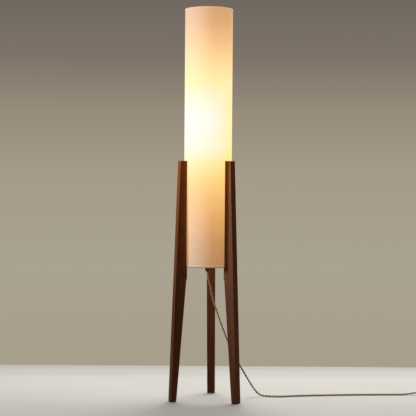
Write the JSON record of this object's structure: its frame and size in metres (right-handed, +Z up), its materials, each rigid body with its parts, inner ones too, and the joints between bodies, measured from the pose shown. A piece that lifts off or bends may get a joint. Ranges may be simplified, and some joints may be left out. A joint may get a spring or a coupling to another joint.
{
  "type": "tripod floor lamp",
  "caption": "Floor lamp with a tall slim cylindrical fabric shade held between tapered wooden tripod legs, with a fabric cord, foot switch and plug.",
  "frame": {"origin": "on the floor, in the middle of the tripod's footprint; the lamp's axis stands at x 6.7 mm, y -19.5 mm", "axes": "+Z up along the shade; +X to the right and +Y away from the viewer, in the front view"},
  "size_m": [1.0339, 0.2056, 1.2],
  "materials": {
    "walnut": "satin oiled walnut",
    "glide": "matt black",
    "shade_fabric": "linen-look weave, lit from inside",
    "shade_liner": "translucent film",
    "steel": "zinc-plated",
    "brass": "bright",
    "cord": "braided textile over round flex",
    "core_insulation": "extruded",
    "black_plastic": "moulded, fine texture",
    "black_rubber": "matt",
    "ceramic": "glazed porcelain look",
    "opal_glass": "opal",
    "bulb_metal": "nickel-plated"
  },
  "bodies": {
    "lamp": {"leg_right": "walnut", "leg_back": "walnut", "leg_left": "walnut", "foot_glide_right": "glide", "foot_glide_back": "glide", "foot_glide_left": "glide", "shade_fabric": "shade_fabric", "shade_liner": "shade_liner", "shade_ring_bottom": "steel", "shade_ring_top": "steel", "spider": "steel", "stem_tube": "steel", "leg_washer_right": "steel", "leg_screw_upper_right": "steel", "leg_screw_lower_right": "steel", "leg_washer_back": "steel", "leg_screw_upper_back": "steel", "leg_screw_lower_back": "steel", "leg_washer_left": "steel", "leg_screw_upper_left": "steel", "leg_screw_lower_left": "steel", "switch_screw_1": "steel", "switch_screw_2": "steel", "switch_spring": "steel", "stem_nut_lower": "brass", "stem_nut_upper": "brass", "holder_screw_shell": "brass", "holder_contact": "brass", "plug_pin_left": "brass", "plug_pin_right": "brass", "stem_lead": "cord", "cord_to_switch": "cord", "cord_to_coil": "cord", "cord_coil": "cord", "cord_to_plug": "cord", "core_live": "core_insulation", "core_neutral": "core_insulation", "cord_grip": "black_plastic", "holder_cap": "black_plastic", "holder_body": "black_plastic", "switch_base": "black_plastic", "switch_cover": "black_plastic", "switch_module": "black_plastic", "plug_body": "black_plastic", "switch_sleeve_in": "black_rubber", "switch_sleeve_out": "black_rubber", "plug_strain_relief": "black_rubber", "cord_tie": "black_rubber", "holder_insert": "ceramic"},
    "bulb_foot": {"bulb_contact": "bulb_metal"},
    "bulb": {"bulb_cap": "bulb_metal", "bulb_globe": "opal_glass"},
    "switch_button": {"switch_button": "black_plastic"}
  },
  "joints": [
    {"name": "bulb_travel", "type": "slide", "parent": "lamp", "child": "bulb_foot", "axis": [0, 0, 1], "range_m": [0, 0.00908]},
    {"name": "bulb_turn", "type": "hinge", "parent": "bulb_foot", "child": "bulb", "pos_m": [0.0067, -0.0195, 0.776], "axis": [0, 0, 1], "range_deg": [0, 900]},
    {"name": "button_press", "type": "slide", "parent": "lamp", "child": "switch_button", "axis": [0, 0, -1], "range_m": [0, 0.003], "stiffness_N_per_m": 300, "springref_m": -0.003, "deforming": ["switch_spring"]}
  ],
  "couplings": [
    {"joint": "bulb_travel", "follows": "bulb_turn", "m_per_rad": 0.00057757}
  ]
}
